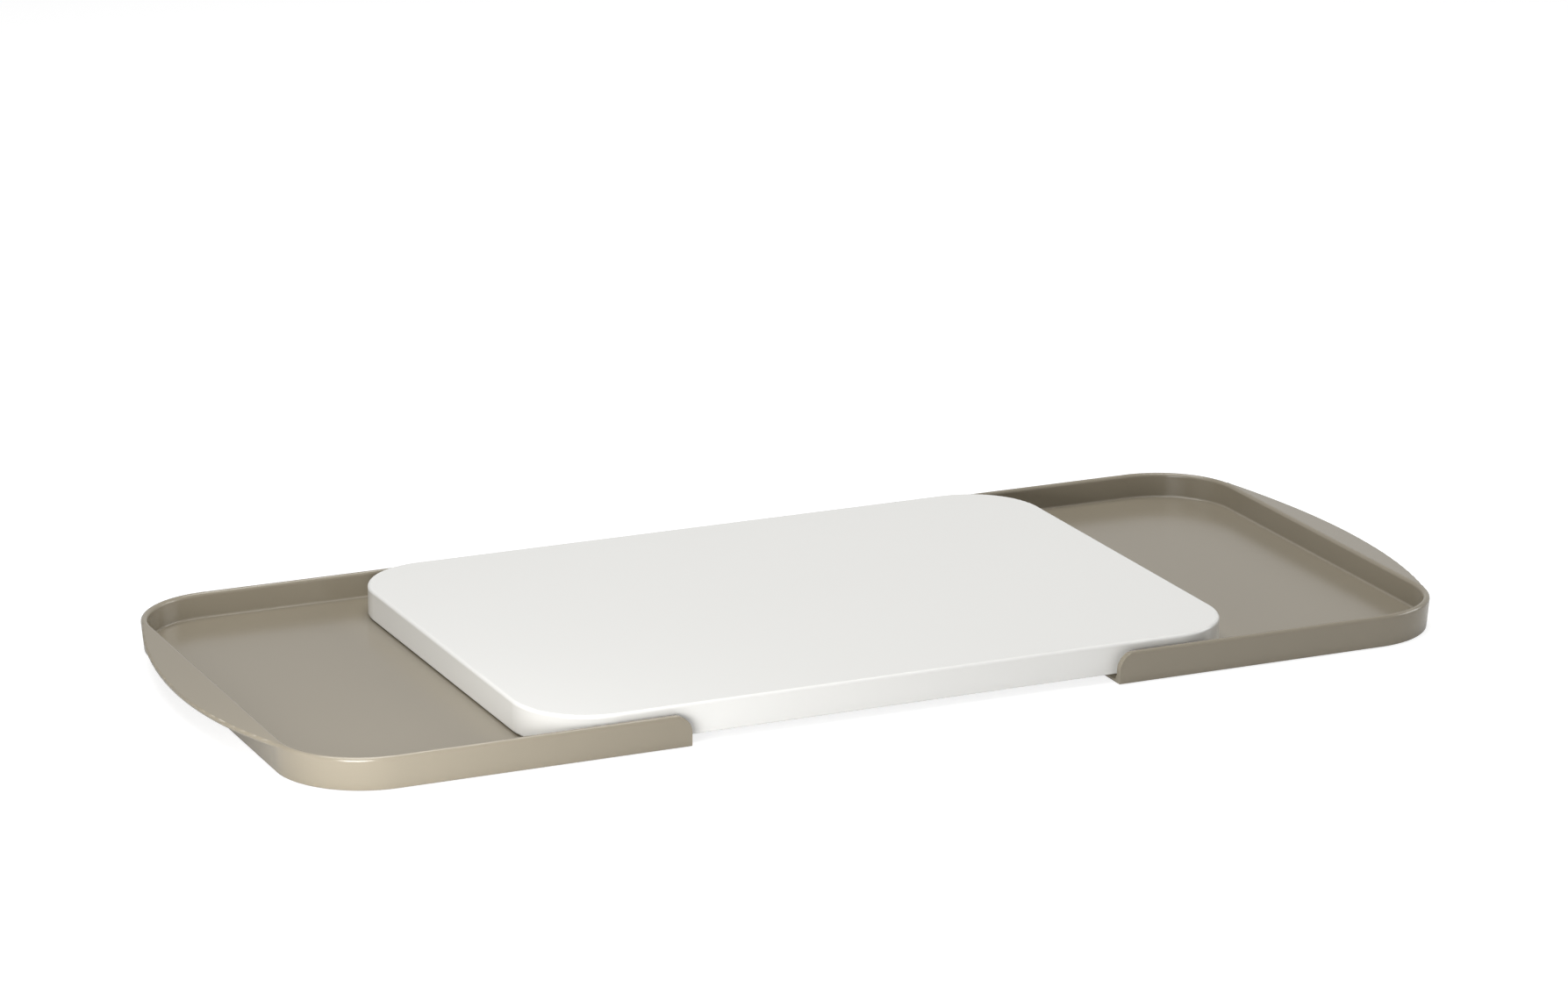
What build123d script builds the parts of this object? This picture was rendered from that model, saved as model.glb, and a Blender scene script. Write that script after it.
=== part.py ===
from build123d import *
import math
import os

# A chopping board that lies on two drawer trays. Each tray slides out from under one end of the board
# and catches what is scraped off it. Millimetres, +Z up. The origin is on the table, under the middle
# of the board. The trays are modelled pulled out to their stops, as in use.

# Board
board_length = 350.0
board_width = 250.6
board_thickness = 14.5
board_corner_radius = 36.0
board_top_edge_radius = 1.6
board_bottom_edge_radius = 0.8

# Trays, which are one moulding used twice, the second turned half a turn
tray_height = 15.0            # underside to rim
tray_floor_thickness = 2.9
tray_wall_thickness = 3.4     # at the rim
tray_end_draft = 1.5          # how far the outer end leans out from underside to rim
tray_side_draft = 0.4         # the same for the long walls
tray_inside_draft = 0.2       # how far the inside face leans out from floor to rim
tray_inside_fillet = 1.0
tray_rim_radius = 1.6
tray_underside_radius = 0.5
tray_open_corner_radius = 9.0  # at the open end of each long wall
tray_mouth_ramp = 3.0         # length of the ramp at the floor's open edge
tray_mouth_edge = 1.2         # thickness that the ramp leaves
tray_travel = 106.0           # drawing distance from shut to the pulled-out stop
tray_meeting_gap = 0.4        # between the two trays when both are shut
rim_gap = 2.5                 # between the board's edge and the inside of a shut tray's rim
glide_gap = 0.5               # between the tray's floor and the board's underside

# Handle lip along the outer end of each tray
lip_reach = 14.8              # how far it stands out past the tray's outer end
lip_half_length = 94.0
lip_slope = 7.8               # degrees down from level
lip_thickness = 2.4
lip_edge_radius = 1.1
lip_sink = 0.02               # how deep the lip's top face starts below the rim's curve

# Feet under the trays
foot_radius = 6.0
foot_thickness = 1.4
foot_proud = 0.4
foot_edge_chamfer = 0.2
foot_side_clearance = 0.1
foot_inset_y = 20.0           # from the tray's side to a foot's axis
foot_inset_outer = 26.0       # from the tray's outer end to a foot's axis
foot_inset_inner = 24.0       # from the tray's open end to a foot's axis

# Guide rails let into the board's underside
rail_offset_y = 80.0          # from the middle of the board to a rail's middle
rail_height = 6.0
rail_side_wall = 3.2
rail_lip_thickness = 1.8
rail_slot_width = 8.2
rail_end_block = 14.0
rail_seat_clearance = 0.1     # all round a rail in its groove
rail_edge_chamfer = 0.4

# Sliders that stand on the trays and run in the rails
slider_length = 24.0
slider_head_width = 14.0
slider_inset = 10.0           # from the tray's open end
slider_side_clearance = 0.3
slider_lift_clearance = 0.3
slider_stop_clearance = 0.2   # left at each stop
slider_edge_radius = 1.0

# Stops in the rails
buffer_thickness = 3.5
buffer_seat_depth = 1.0
buffer_width = 10.0
stop_fit_clearance = 0.1

# Countersunk screws
screw_shank_radius = 1.45
screw_head_radius = 2.8
screw_head_flat = 0.3
screw_hole_clearance = 0.1
screw_sink = 0.15             # how deep a head sits below its surface
rail_screw_length = 10.0
slider_screw_length = 7.6
slider_screw_spacing = 14.0
screw_tip_clearance = 0.5
screw_tip_taper = 0.8

# How far a cutting shape runs past what it cuts, and how near counts as touching
cut_margin = 1.0
nearness = 0.01

# Levels and places that follow from the sizes above
tray_underside = foot_proud
tray_floor_top = tray_underside + tray_floor_thickness
tray_rim = tray_underside + tray_height
board_underside = tray_floor_top + glide_gap
board_top = board_underside + board_thickness
rail_top = board_underside + rail_height
channel_floor = board_underside + rail_lip_thickness
channel_width = slider_head_width + 2 * slider_side_clearance
rail_width = channel_width + 2 * rail_side_wall

tray_open_end = tray_meeting_gap / 2
tray_inside_end = board_length / 2 + rim_gap
tray_inside_side = board_width / 2 + rim_gap
tray_inside_radius = board_corner_radius + rim_gap
tray_outside_end = tray_inside_end + tray_wall_thickness
tray_outside_side = tray_inside_side + tray_wall_thickness
tray_outside_radius = tray_inside_radius + tray_wall_thickness

slider_start = tray_open_end + slider_inset
slider_centre = slider_start + slider_length / 2
outer_stop = slider_start + slider_length + tray_travel + slider_stop_clearance
buffer_back = outer_stop + buffer_thickness - buffer_seat_depth
rail_half_length = buffer_back + rail_end_block
rail_screw_x = buffer_back + rail_end_block / 2
centre_stop_length = 2 * (slider_start - slider_stop_clearance)
screw_head_height = screw_head_radius - screw_shank_radius + screw_head_flat

ends = {"right": 0.0, "left": 180.0}
sides = {"front": -1.0, "rear": 1.0}


def end_outline(start_x, end_x, half_width, radius, level):
    """A face that is square at start_x and has two round corners at end_x."""
    rounded = FilletPolyline(
        (start_x, -half_width),
        (end_x, -half_width),
        (end_x, half_width),
        (start_x, half_width),
        radius=radius,
    )
    closing = Line((start_x, half_width), (start_x, -half_width))
    return Plane.XY.offset(level) * make_face([rounded, closing])


def screw(x, y, head_level, length):
    """A countersunk screw that points up, with its head's face at head_level."""
    outline = Polyline(
        (0, 0),
        (screw_head_radius, 0),
        (screw_head_radius, screw_head_flat),
        (screw_shank_radius, screw_head_height),
        (screw_shank_radius, length - screw_tip_taper),
        (screw_shank_radius - screw_tip_taper / 2, length),
        (0, length),
        close=True,
    )
    body = revolve(Plane.XZ * make_face(outline), Axis.Z)
    return Pos(x, y, head_level) * body


def screw_hole(x, y, surface, length):
    """The countersunk hole that a screw of this length goes into from below."""
    clear = screw_hole_clearance
    head_level = screw_sink
    outline = Polyline(
        (0, -cut_margin),
        (screw_head_radius + clear, -cut_margin),
        (screw_head_radius + clear, head_level + screw_head_flat),
        (screw_shank_radius + clear, head_level + screw_head_height),
        (screw_shank_radius + clear, head_level + length + screw_tip_clearance),
        (0, head_level + length + screw_tip_clearance),
        close=True,
    )
    return Pos(x, y, surface) * revolve(Plane.XZ * make_face(outline), Axis.Z)


def rail_screw_places(side):
    return [(x, side * rail_offset_y) for x in (-rail_screw_x, 0.0, rail_screw_x)]


def slider_screw_places(side):
    half = slider_screw_spacing / 2
    return [(slider_centre + step, side * rail_offset_y) for step in (-half, half)]


def foot_places():
    outer_x = tray_outside_end - foot_inset_outer
    inner_x = tray_open_end + foot_inset_inner
    foot_y = tray_outside_side - foot_inset_y
    return {
        "front_outer_foot": (outer_x, -foot_y),
        "rear_outer_foot": (outer_x, foot_y),
        "front_inner_foot": (inner_x, -foot_y),
        "rear_inner_foot": (inner_x, foot_y),
    }


def make_board():
    blank = extrude(RectangleRounded(board_length, board_width, board_corner_radius), board_thickness)
    blank = fillet(blank.edges().group_by(Axis.Z)[-1], board_top_edge_radius)
    blank = fillet(blank.edges().group_by(Axis.Z)[0], board_bottom_edge_radius)
    board = Pos(0, 0, board_underside) * blank
    groove_length = 2 * (rail_half_length + rail_seat_clearance)
    groove_width = rail_width + 2 * rail_seat_clearance
    groove = Box(groove_length, groove_width, rail_height, align=(Align.CENTER, Align.CENTER, Align.MIN))
    for side in sides.values():
        board -= Pos(0, side * rail_offset_y, board_underside) * groove
        for x, y in rail_screw_places(side):
            surface = channel_floor if x == 0.0 else board_underside
            board -= screw_hole(x, y, surface, rail_screw_length)
    return board


def make_rail(side):
    """A channel that is open above, with a slot along its floor and a solid block at each end."""
    low = (Align.CENTER, Align.CENTER, Align.MIN)
    body = Box(2 * rail_half_length, rail_width, rail_height, align=low)
    body = chamfer(body.edges().filter_by(Axis.Z), rail_edge_chamfer)
    body -= Pos(0, 0, rail_lip_thickness) * Box(2 * buffer_back, channel_width, rail_height, align=low)
    body -= Box(2 * buffer_back, rail_slot_width, rail_height, align=low)
    seat_height = rail_height - rail_lip_thickness
    seat_length = 2 * (buffer_back + buffer_seat_depth)
    seat = Box(seat_length, buffer_width + 2 * stop_fit_clearance, seat_height, align=low)
    body -= Pos(0, 0, rail_lip_thickness) * seat
    rail = Pos(0, side * rail_offset_y, board_underside) * body
    for x, y in rail_screw_places(side):
        if x != 0.0:
            rail -= screw_hole(x, y, board_underside, rail_screw_length)
    return rail


def make_centre_stop(side):
    """The block in the middle of a rail that the sliders come up against when the trays are shut."""
    width = channel_width - 2 * stop_fit_clearance
    height = rail_height - rail_lip_thickness
    low = (Align.CENTER, Align.CENTER, Align.MIN)
    block = Box(centre_stop_length, width, height, align=low)
    block = fillet(block.edges().filter_by(Axis.Z), slider_edge_radius)
    block = Pos(0, side * rail_offset_y, channel_floor) * block
    return block - screw_hole(0, side * rail_offset_y, channel_floor, rail_screw_length)


def make_buffer(side):
    """The rubber pad in a rail's end that a slider comes up against when its tray is pulled out."""
    height = rail_height - rail_lip_thickness - stop_fit_clearance
    low = (Align.MIN, Align.CENTER, Align.MIN)
    pad = Box(buffer_thickness, buffer_width, height, align=low)
    face = pad.faces().sort_by(Axis.X)[0]
    pad = fillet(face.edges().filter_by(Axis.Z), slider_edge_radius)
    return Pos(outer_stop, side * rail_offset_y, channel_floor) * pad


def make_hollow():
    """The space inside a tray, run out past its open end, with a rounded edge round the floor."""
    past_open_end = tray_open_end - tray_wall_thickness
    inside_floor = end_outline(
        past_open_end,
        tray_inside_end - tray_inside_draft,
        tray_inside_side - tray_inside_draft,
        tray_inside_radius - tray_inside_draft,
        tray_floor_top,
    )
    inside_rim = end_outline(
        past_open_end, tray_inside_end, tray_inside_side, tray_inside_radius, tray_rim
    )
    hollow = loft([inside_floor, inside_rim], ruled=True)
    bottom_edges = hollow.faces().sort_by(Axis.Z)[0].edges()
    rounded = [edge for edge in bottom_edges if edge.center().X > past_open_end + nearness]
    return fillet(rounded, tray_inside_fillet)


def make_tray_shell():
    """The tray's floor and walls, open at the end that stays under the board."""
    base = end_outline(
        tray_open_end,
        tray_outside_end - tray_end_draft,
        tray_outside_side - tray_side_draft,
        tray_outside_radius - tray_side_draft,
        tray_underside,
    )
    rim = end_outline(
        tray_open_end, tray_outside_end, tray_outside_side, tray_outside_radius, tray_rim
    )
    shell = loft([base, rim], ruled=True) - make_hollow()
    rim_edges = []
    for edge in shell.edges():
        box = edge.bounding_box()
        if box.min.Z > tray_rim - nearness and box.size.X > nearness:
            rim_edges.append(edge)
    shell = fillet(rim_edges, tray_rim_radius)
    low_edges = shell.faces().sort_by(Axis.Z)[0].edges()
    outside = [edge for edge in low_edges if edge.center().X > tray_open_end + nearness]
    return fillet(outside, tray_underside_radius)


def wall_corner_cutter():
    """Takes the square top corner off both long walls at the open end and leaves a round one."""
    radius = tray_open_corner_radius
    corner = Rectangle(radius, radius, align=(Align.MIN, Align.MAX))
    corner -= Pos(radius, -radius) * Circle(radius)
    cutter = extrude(Plane.XZ * corner, tray_outside_side + cut_margin, both=True)
    return Pos(tray_open_end, 0, tray_rim) * cutter


def mouth_ramp_cutter():
    """Slopes the floor down to a thin edge at the open end, for what is scraped in to slide over."""
    outline = Polyline(
        (tray_open_end - cut_margin, tray_underside + tray_mouth_edge),
        (tray_open_end, tray_underside + tray_mouth_edge),
        (tray_open_end + tray_mouth_ramp, tray_floor_top),
        (tray_open_end + tray_mouth_ramp, tray_floor_top + cut_margin),
        (tray_open_end - cut_margin, tray_floor_top + cut_margin),
        close=True,
    )
    half_width = tray_inside_side - tray_inside_draft - tray_inside_fillet
    return extrude(Plane.XZ * make_face(outline), half_width, both=True)


def make_lip():
    """The crescent that slopes down from the rim and serves as the handle, on the shut tray."""
    slope = math.radians(lip_slope)
    start_x = tray_outside_end - tray_rim_radius * (1 - math.sin(slope))
    start_z = tray_rim - tray_rim_radius * (1 - math.cos(slope)) - lip_sink
    plane = Plane(
        origin=(start_x, 0, start_z),
        x_dir=(math.cos(slope), 0, -math.sin(slope)),
        z_dir=(math.sin(slope), 0, math.cos(slope)),
    )
    rim_x = (tray_outside_end - start_x) / math.cos(slope)
    tip_x = rim_x + lip_reach / math.cos(slope)
    radius = (lip_half_length**2 + (tip_x - rim_x) ** 2) / (2 * (tip_x - rim_x))
    centre_x = tip_x - radius
    root_y = math.sqrt(radius**2 - centre_x**2)
    edge = ThreePointArc((0, -root_y), (tip_x, 0), (0, root_y))
    crescent = make_face([edge, Line((0, root_y), (0, -root_y))])
    lip = extrude(plane * crescent, -lip_thickness)
    curved = [item for item in lip.edges() if item.geom_type != GeomType.LINE]
    return fillet(curved, lip_edge_radius)


def make_tray():
    """One shut tray, on the right-hand side."""
    tray = make_tray_shell() - wall_corner_cutter() - mouth_ramp_cutter() + make_lip()
    pocket_depth = foot_thickness - foot_proud
    pocket = Cylinder(
        foot_radius + foot_side_clearance, pocket_depth, align=(Align.CENTER, Align.CENTER, Align.MIN)
    )
    for x, y in foot_places().values():
        tray -= Pos(x, y, tray_underside) * pocket
    for side in sides.values():
        for x, y in slider_screw_places(side):
            tray -= screw_hole(x, y, tray_underside, slider_screw_length)
    return tray


def make_slider(side):
    """The T-shaped slider that stands on a tray's floor and hangs the tray in its rail."""
    low = (Align.CENTER, Align.CENTER, Align.MIN)
    neck_width = rail_slot_width - 2 * slider_side_clearance
    head_level = channel_floor + slider_lift_clearance
    head_height = rail_top - slider_lift_clearance - head_level
    neck = Box(slider_length, neck_width, head_level - tray_floor_top, align=low)
    neck = fillet(neck.edges().filter_by(Axis.Z), slider_edge_radius)
    head = Box(slider_length, slider_head_width, head_height, align=low)
    head = fillet(head.edges().filter_by(Axis.Z), slider_edge_radius)
    slider = Pos(0, 0, tray_floor_top) * neck + Pos(0, 0, head_level) * head
    slider = Pos(slider_centre, side * rail_offset_y, 0) * slider
    for x, y in slider_screw_places(side):
        slider -= screw_hole(x, y, tray_underside, slider_screw_length)
    return slider


def make_foot(x, y):
    disc = Cylinder(foot_radius, foot_thickness, align=(Align.CENTER, Align.CENTER, Align.MIN))
    return Pos(x, y, 0) * chamfer(disc.edges().group_by(Axis.Z)[0], foot_edge_chamfer)


def save(name, shape):
    shape.label = name
    export_step(shape, f"parts/{name}.step")


def save_tray_parts(end, turn):
    """Everything that slides with one tray, pulled out to the stop and turned to its end."""
    place = Rot(0, 0, turn) * Pos(tray_travel, 0, 0)
    # Half a turn swaps front and rear
    swap = {"front": "front", "rear": "rear"} if turn == 0.0 else {"front": "rear", "rear": "front"}
    save(f"{end}_tray", place * make_tray())
    screws = []
    for side_name, side in sides.items():
        save(f"{end}_{swap[side_name]}_slider", place * make_slider(side))
        for x, y in slider_screw_places(side):
            screws.append(place * screw(x, y, tray_underside + screw_sink, slider_screw_length))
    save(f"{end}_slider_screws", Compound(screws))
    for foot_name, (x, y) in foot_places().items():
        side_name, rest = foot_name.split("_", 1)
        save(f"{end}_{swap[side_name]}_{rest}", place * make_foot(x, y))


def save_board_parts():
    """The board and what is fixed to its underside."""
    save("cutting_board", make_board())
    screws = []
    for side_name, side in sides.items():
        save(f"{side_name}_guide_rail", make_rail(side))
        save(f"{side_name}_centre_stop", make_centre_stop(side))
        for x, y in rail_screw_places(side):
            surface = channel_floor if x == 0.0 else board_underside
            screws.append(screw(x, y, surface + screw_sink, rail_screw_length))
        save(f"right_{side_name}_buffer", make_buffer(side))
        save(f"left_{side_name}_buffer", Rot(0, 0, 180) * make_buffer(-side))
    save("rail_screws", Compound(screws))


def main():
    os.makedirs("parts", exist_ok=True)
    save_board_parts()
    for end, turn in ends.items():
        save_tray_parts(end, turn)


main()
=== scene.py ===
import math
import bpy
from mathutils import Matrix, Vector

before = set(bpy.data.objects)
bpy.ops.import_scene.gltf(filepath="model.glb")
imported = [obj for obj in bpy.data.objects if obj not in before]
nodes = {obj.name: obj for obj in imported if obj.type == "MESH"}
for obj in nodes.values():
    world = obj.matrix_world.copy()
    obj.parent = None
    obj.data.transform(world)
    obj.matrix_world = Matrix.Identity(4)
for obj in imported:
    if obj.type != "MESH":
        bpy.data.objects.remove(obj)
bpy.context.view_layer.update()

scene = bpy.context.scene
print("frame loaded:", len(nodes), "nodes")


# Small helpers for node trees

def addNode(tree, kind, **inputs):
    node = tree.nodes.new(kind)
    for name, value in inputs.items():
        node.inputs[name].default_value = value
    return node


def mathNode(tree, operation, first, second):
    # each of the two is a number or a socket
    node = tree.nodes.new("ShaderNodeMath")
    node.operation = operation
    for socket, value in zip(node.inputs, (first, second)):
        if isinstance(value, float):
            socket.default_value = value
        else:
            tree.links.new(value, socket)
    return node.outputs[0]


def newMaterial(name):
    material = bpy.data.materials.new(name)
    material.use_nodes = True
    material.node_tree.nodes.clear()
    output = material.node_tree.nodes.new("ShaderNodeOutputMaterial")
    return material, material.node_tree, output


def giveMaterial(material, *names):
    for name in names:
        mesh = nodes[name].data
        mesh.materials.clear()
        mesh.materials.append(material)


# Moulded skin: the faint orange peel and cloudiness that any moulded plastic has

skinNoise = {
    "cloudDetail": 3.0,
    "grainDetail": 2.0,
    "middle": 0.5,  # what the noise swings about
}

skinInputs = {
    "Color": ("NodeSocketColor", (0.8, 0.8, 0.8, 1)),
    "Shade Change": ("NodeSocketFloat", 0.02),
    "Roughness": ("NodeSocketFloat", 0.4),
    "Roughness Change": ("NodeSocketFloat", 0.05),
    "Grain Size": ("NodeSocketFloat", 900.0),
    "Cloud Size": ("NodeSocketFloat", 14.0),
}

skinOutputs = {"Color": "NodeSocketColor", "Roughness": "NodeSocketFloat", "Height": "NodeSocketFloat"}


def mouldedSkinGroup(noise):
    group = bpy.data.node_groups.new("mouldedSkin", "ShaderNodeTree")
    for name, (kind, start) in skinInputs.items():
        socket = group.interface.new_socket(name, in_out="INPUT", socket_type=kind)
        socket.default_value = start
    for name, kind in skinOutputs.items():
        group.interface.new_socket(name, in_out="OUTPUT", socket_type=kind)
    ins = group.nodes.new("NodeGroupInput").outputs
    outs = group.nodes.new("NodeGroupOutput").inputs
    link = group.links.new
    place = group.nodes.new("ShaderNodeTexCoord")
    clouds = addNode(group, "ShaderNodeTexNoise", Detail=noise["cloudDetail"])
    link(place.outputs["Object"], clouds.inputs["Vector"])
    link(ins["Cloud Size"], clouds.inputs["Scale"])
    swing = mathNode(group, "SUBTRACT", clouds.outputs["Fac"], noise["middle"])
    shadeSwing = mathNode(group, "MULTIPLY", swing, ins["Shade Change"])
    shaded = group.nodes.new("ShaderNodeVectorMath")
    shaded.operation = "SCALE"
    link(ins["Color"], shaded.inputs[0])
    link(mathNode(group, "ADD", 1.0, shadeSwing), shaded.inputs["Scale"])
    link(shaded.outputs[0], outs["Color"])
    polishSwing = mathNode(group, "MULTIPLY", swing, ins["Roughness Change"])
    link(mathNode(group, "ADD", ins["Roughness"], polishSwing), outs["Roughness"])
    grain = addNode(group, "ShaderNodeTexNoise", Detail=noise["grainDetail"])
    link(place.outputs["Object"], grain.inputs["Vector"])
    link(ins["Grain Size"], grain.inputs["Scale"])
    link(grain.outputs["Fac"], outs["Height"])
    return group


mouldedSkin = mouldedSkinGroup(skinNoise)


def plasticMaterial(name, look):
    material, tree, output = newMaterial(name)
    skin = tree.nodes.new("ShaderNodeGroup")
    skin.node_tree = mouldedSkin
    skin.inputs["Color"].default_value = (*look["color"], 1)
    for name, value in (
        ("Shade Change", look["shadeChange"]),
        ("Roughness", look["roughness"]),
        ("Roughness Change", look["roughnessChange"]),
        ("Grain Size", look["grainSize"]),
        ("Cloud Size", look["cloudSize"]),
    ):
        skin.inputs[name].default_value = value
    bump = addNode(tree, "ShaderNodeBump", Strength=look["grainStrength"], Distance=look["grainDepth"])
    shader = addNode(tree, "ShaderNodeBsdfPrincipled", IOR=look["ior"])
    link = tree.links.new
    link(skin.outputs["Color"], shader.inputs["Base Color"])
    link(skin.outputs["Roughness"], shader.inputs["Roughness"])
    link(skin.outputs["Height"], bump.inputs["Height"])
    link(bump.outputs["Normal"], shader.inputs["Normal"])
    link(shader.outputs["BSDF"], output.inputs["Surface"])
    return material


boardLook = {
    "color": (0.77, 0.765, 0.74),
    "shadeChange": 0.01,
    "roughness": 0.2,
    "roughnessChange": 0.03,
    "grainSize": 1400.0,
    "cloudSize": 12.0,
    "grainStrength": 0.05,
    "grainDepth": 0.0002,
    "ior": 1.48,
}
boardPlastic = plasticMaterial("boardPlastic", boardLook)
giveMaterial(boardPlastic, "cutting_board")
print("board done")

trayLook = {
    "color": (0.259, 0.228, 0.172),
    "shadeChange": 0.02,
    "roughness": 0.2,
    "roughnessChange": 0.03,
    "grainSize": 1100.0,
    "cloudSize": 16.0,
    "grainStrength": 0.08,
    "grainDepth": 0.0002,
    "ior": 1.5,
}
trayPlastic = plasticMaterial("trayPlastic", trayLook)
giveMaterial(trayPlastic, "left_tray", "right_tray")
print("trays done")

railLook = {
    "color": (0.55, 0.55, 0.53),
    "shadeChange": 0.03,
    "roughness": 0.5,
    "roughnessChange": 0.08,
    "grainSize": 900.0,
    "cloudSize": 30.0,
    "grainStrength": 0.1,
    "grainDepth": 0.0002,
    "ior": 1.5,
}
railPlastic = plasticMaterial("railPlastic", railLook)
giveMaterial(railPlastic, "front_guide_rail", "rear_guide_rail", "front_centre_stop", "rear_centre_stop")

sliderLook = dict(railLook, color=(0.72, 0.70, 0.64), roughness=0.35)
sliderPlastic = plasticMaterial("sliderPlastic", sliderLook)
sliderNames = [f"{end}_{side}_slider" for end in ("left", "right") for side in ("front", "rear")]
giveMaterial(sliderPlastic, *sliderNames)

rubberLook = {
    "color": (0.035, 0.034, 0.033),
    "shadeChange": 0.1,
    "roughness": 0.75,
    "roughnessChange": 0.15,
    "grainSize": 2200.0,
    "cloudSize": 60.0,
    "grainStrength": 0.3,
    "grainDepth": 0.0002,
    "ior": 1.5,
}
footRubber = plasticMaterial("footRubber", rubberLook)
rubberNames = [name for name in nodes if name.endswith("_foot") or name.endswith("_buffer")]
giveMaterial(footRubber, *rubberNames)


# Screws: plain turned steel whose polish varies a little

screwLook = {
    "color": (0.55, 0.55, 0.56),
    "roughness": 0.3,
    "roughnessChange": 0.2,
    "streakSize": 3000.0,
    "streakDetail": 2.0,
}


def steelMaterial(name, look):
    material, tree, output = newMaterial(name)
    place = tree.nodes.new("ShaderNodeTexCoord")
    streaks = addNode(tree, "ShaderNodeTexNoise", Scale=look["streakSize"], Detail=look["streakDetail"])
    spread = tree.nodes.new("ShaderNodeMapRange")
    spread.inputs["To Min"].default_value = look["roughness"]
    spread.inputs["To Max"].default_value = look["roughness"] + look["roughnessChange"]
    shader = addNode(tree, "ShaderNodeBsdfPrincipled", Metallic=1.0)
    shader.inputs["Base Color"].default_value = (*look["color"], 1)
    link = tree.links.new
    link(place.outputs["Object"], streaks.inputs["Vector"])
    link(streaks.outputs["Fac"], spread.inputs["Value"])
    link(spread.outputs["Result"], shader.inputs["Roughness"])
    link(shader.outputs["BSDF"], output.inputs["Surface"])
    return material


screwSteel = steelMaterial("screwSteel", screwLook)
giveMaterial(screwSteel, "rail_screws", "left_slider_screws", "right_slider_screws")
print("hidden pieces done")


def byRay(tree, levels):
    # one number for what the camera sees, one for reflections and one for all other light
    path = tree.nodes.new("ShaderNodeLightPath")
    inMirror = tree.nodes.new("ShaderNodeMix")
    inMirror.inputs["A"].default_value = levels["light"]
    inMirror.inputs["B"].default_value = levels["mirror"]
    inView = tree.nodes.new("ShaderNodeMix")
    inView.inputs["B"].default_value = levels["camera"]
    tree.links.new(path.outputs["Is Glossy Ray"], inMirror.inputs["Factor"])
    tree.links.new(inMirror.outputs["Result"], inView.inputs["A"])
    tree.links.new(path.outputs["Is Camera Ray"], inView.inputs["Factor"])
    return inView.outputs["Result"]


# Floor: pale, and white to the camera where nothing shades it

floorLook = {
    "size": 30.0,
    "paint": {"camera": 0.4, "mirror": 0.4, "light": 0.9},
    "glow": {"camera": 0.8, "mirror": 0.39, "light": 0.0},
}


def makeFloor(look):
    half = look["size"] / 2
    corners = [(-half, -half, 0), (half, -half, 0), (half, half, 0), (-half, half, 0)]
    mesh = bpy.data.meshes.new("floor")
    mesh.from_pydata(corners, [], [(0, 1, 2, 3)])
    floor = bpy.data.objects.new("floor", mesh)
    scene.collection.objects.link(floor)
    material, tree, output = newMaterial("floorPaint")
    diffuse = tree.nodes.new("ShaderNodeBsdfDiffuse")
    glow = tree.nodes.new("ShaderNodeEmission")
    both = tree.nodes.new("ShaderNodeAddShader")
    tree.links.new(byRay(tree, look["paint"]), diffuse.inputs["Color"])
    tree.links.new(byRay(tree, look["glow"]), glow.inputs["Strength"])
    tree.links.new(diffuse.outputs[0], both.inputs[0])
    tree.links.new(glow.outputs[0], both.inputs[1])
    tree.links.new(both.outputs[0], output.inputs["Surface"])
    mesh.materials.append(material)


makeFloor(floorLook)


# Light: a dim white room, a wide soft lamp above, and smaller ones, the nearest at the left front corner

roomLight = {"camera": 1.0, "mirror": 0.63, "light": 0.04}


def makeWorld(levels):
    world = bpy.data.worlds.new("studio")
    world.use_nodes = True
    tree = world.node_tree
    tree.nodes.clear()
    output = tree.nodes.new("ShaderNodeOutputWorld")
    background = tree.nodes.new("ShaderNodeBackground")
    background.inputs["Color"].default_value = (1, 1, 1, 1)
    tree.links.new(byRay(tree, levels), background.inputs["Strength"])
    tree.links.new(background.outputs[0], output.inputs["Surface"])
    scene.world = world


makeWorld(roomLight)

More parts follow.
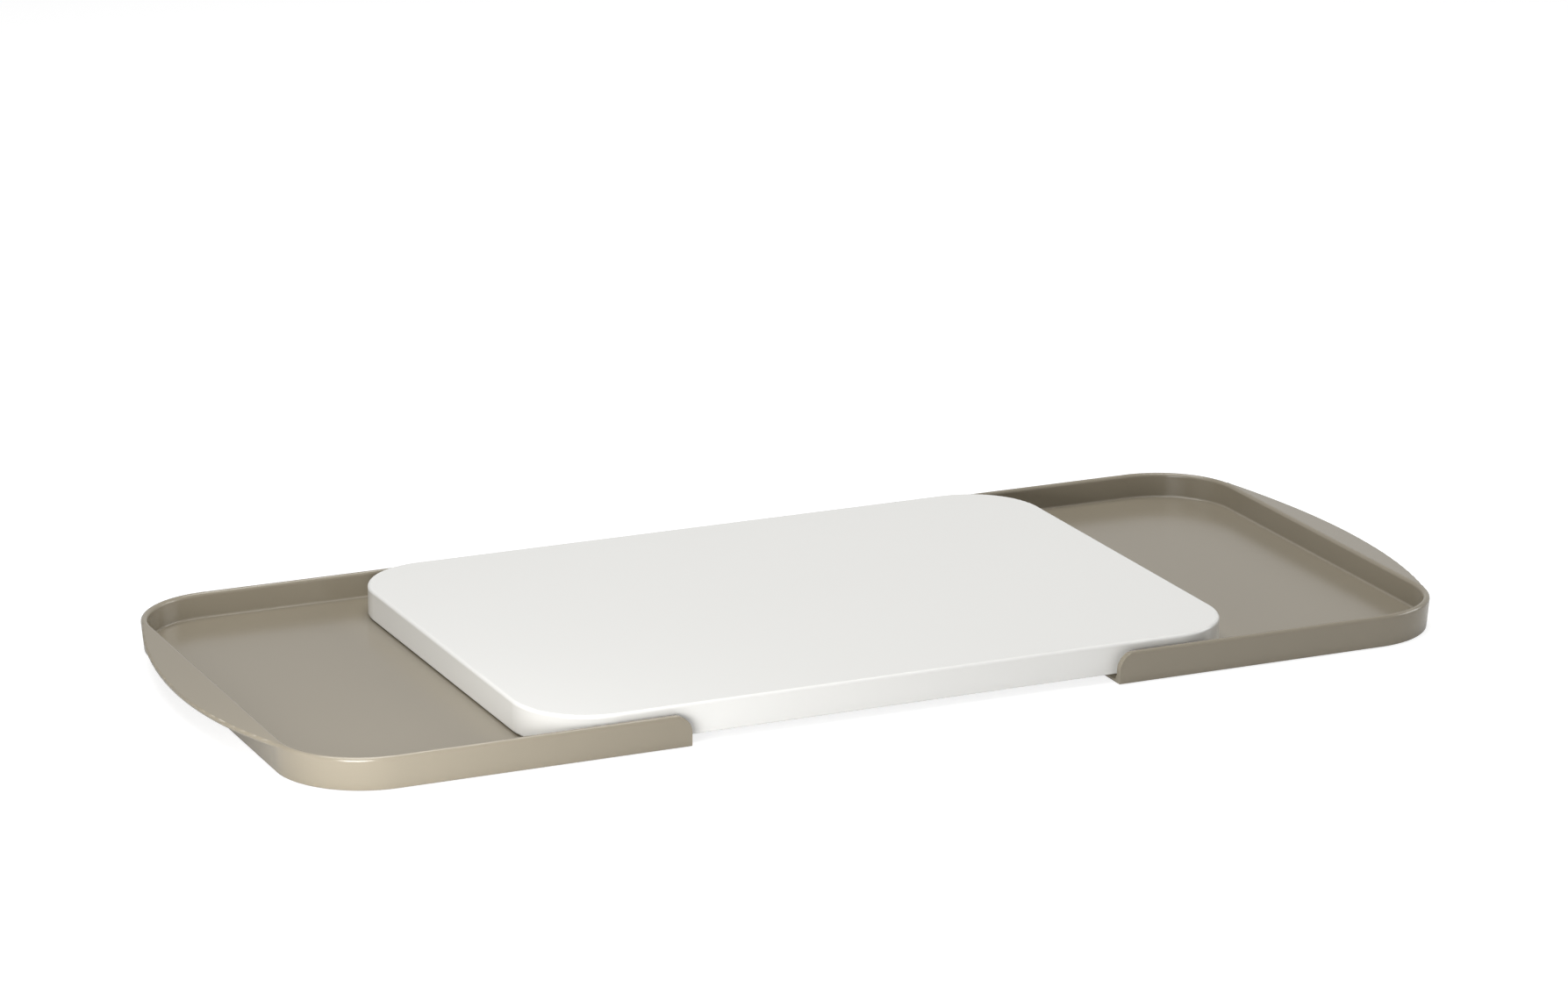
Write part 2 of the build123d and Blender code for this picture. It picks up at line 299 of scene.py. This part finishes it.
lamps = {
    "above": {
        "place": (-0.1, 0.2, 1.8),
        "aim": (0, 0, 0),
        "size": (1.8, 1.4),
        "power": 34.1,
    },
    "frontLeft": {
        "place": (-0.8, -1.0, 0.18),
        "aim": (-0.2, -0.05, 0),
        "size": (0.5, 0.3),
        "power": 6.2,
    },
    "nearCorner": {
        "place": (-0.36, -0.3, 0.1),
        "aim": (-0.26, -0.1, 0),
        "size": (0.16, 0.12),
        "power": 0.565,
    },
    "left": {
        "place": (-1.7, 0.1, 0.8),
        "aim": (0, 0, 0),
        "size": (1.0, 0.8),
        "power": 2.9,
    },
    "right": {
        "place": (1.8, -0.4, 0.8),
        "aim": (0, 0, 0),
        "size": (1.0, 0.8),
        "power": 10.8,
    },
}


def makeLamp(name, look):
    light = bpy.data.lights.new(name, "AREA")
    light.shape = "RECTANGLE"
    light.size, light.size_y = look["size"]
    light.energy = look["power"]
    lamp = bpy.data.objects.new(name, light)
    lamp.location = look["place"]
    direction = Vector(look["aim"]) - Vector(look["place"])
    lamp.rotation_euler = direction.to_track_quat("-Z", "Y").to_euler()
    lamp.visible_camera = False
    scene.collection.objects.link(lamp)


for lampName, lampLook in lamps.items():
    makeLamp(lampName, lampLook)
print("light done")


# Camera, in the photograph's place

cameraLook = {
    "turn": -24.285,  # degrees round to the left of the front
    "height": 16.264,  # degrees above level
    "roll": 0.064,
    "distance": 2.61931,
    "across": -0.0027055,
    "up": 0.0626675,
    "aimHeight": 0.0038,  # the board's underside
    "lens": 128.21,
    "sensorWidth": 36.0,
    "farthest": 100.0,  # nothing is drawn beyond this distance
}


def makeCamera(look):
    turn, height, roll = (math.radians(look[key]) for key in ("turn", "height", "roll"))
    level = math.cos(height)
    back = Vector((math.sin(turn) * level, -math.cos(turn) * level, math.sin(height)))
    right = Vector((math.cos(turn), math.sin(turn), 0))
    up = back.cross(right)
    rightRolled = right * math.cos(roll) + up * math.sin(roll)
    upRolled = up * math.cos(roll) - right * math.sin(roll)
    place = rightRolled * look["across"] + upRolled * look["up"] + back * look["distance"]
    place.z += look["aimHeight"]
    data = bpy.data.cameras.new("camera")
    data.sensor_width = look["sensorWidth"]
    data.sensor_fit = "HORIZONTAL"
    data.lens = look["lens"]
    data.clip_end = look["farthest"]
    camera = bpy.data.objects.new("camera", data)
    turned = Matrix((rightRolled, upRolled, back)).transposed().to_4x4()
    camera.matrix_world = Matrix.Translation(place) @ turned
    scene.collection.objects.link(camera)
    scene.camera = camera


makeCamera(cameraLook)
print("camera done")

scene.view_settings.view_transform = "Standard"
